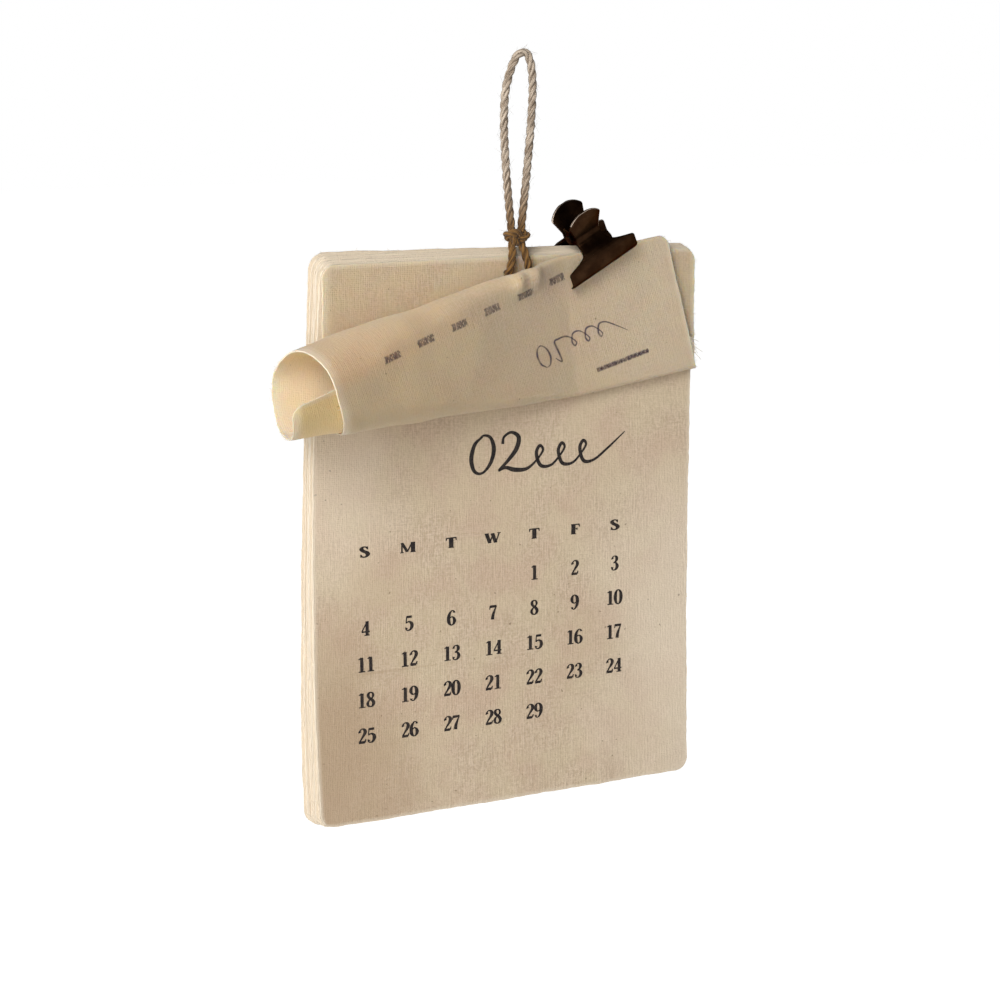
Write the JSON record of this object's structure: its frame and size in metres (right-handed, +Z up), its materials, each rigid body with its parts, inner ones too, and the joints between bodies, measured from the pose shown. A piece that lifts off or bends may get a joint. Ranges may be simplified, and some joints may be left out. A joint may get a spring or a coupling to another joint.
{
  "type": "wall calendar",
  "caption": "Small cloth wall calendar on a twine loop: a stack of month pages, with the front page rolled up and held against the stack by a sprung metal clip.",
  "frame": {"origin": "point of the twine loop that rests on a hook", "axes": "+X to the right seen from the front, +Z up, the front of the pages faces -Y"},
  "size_m": [0.1434, 0.039, 0.2184],
  "materials": {
    "cotton_pages": "plain woven",
    "cotton_roll": "plain woven",
    "jute_twine": "twisted, hairy",
    "aged_bronze": "antiqued",
    "pin_steel": "dull",
    "spring_steel": "drawn wire"
  },
  "bodies": {
    "calendar": {"page_block": "cotton_pages", "turned_page": "cotton_roll", "twine_loop": "jute_twine", "twine_strap": "jute_twine", "twine_knot": "jute_twine", "clip_back_lever": "aged_bronze", "clip_pin": "pin_steel", "clip_spring": "spring_steel"},
    "front_lever": {"clip_front_lever": "aged_bronze"}
  },
  "joints": [
    {"name": "clip_hinge", "type": "hinge", "parent": "calendar", "child": "front_lever", "pos_m": [0.01859, -0.00094, -0.04939], "axis": [-0.8746, 0, -0.4848], "range_deg": [0, 26], "stiffness_Nm_per_rad": 0.08, "springref_deg": -34.38, "deforming": ["clip_spring"]}
  ]
}
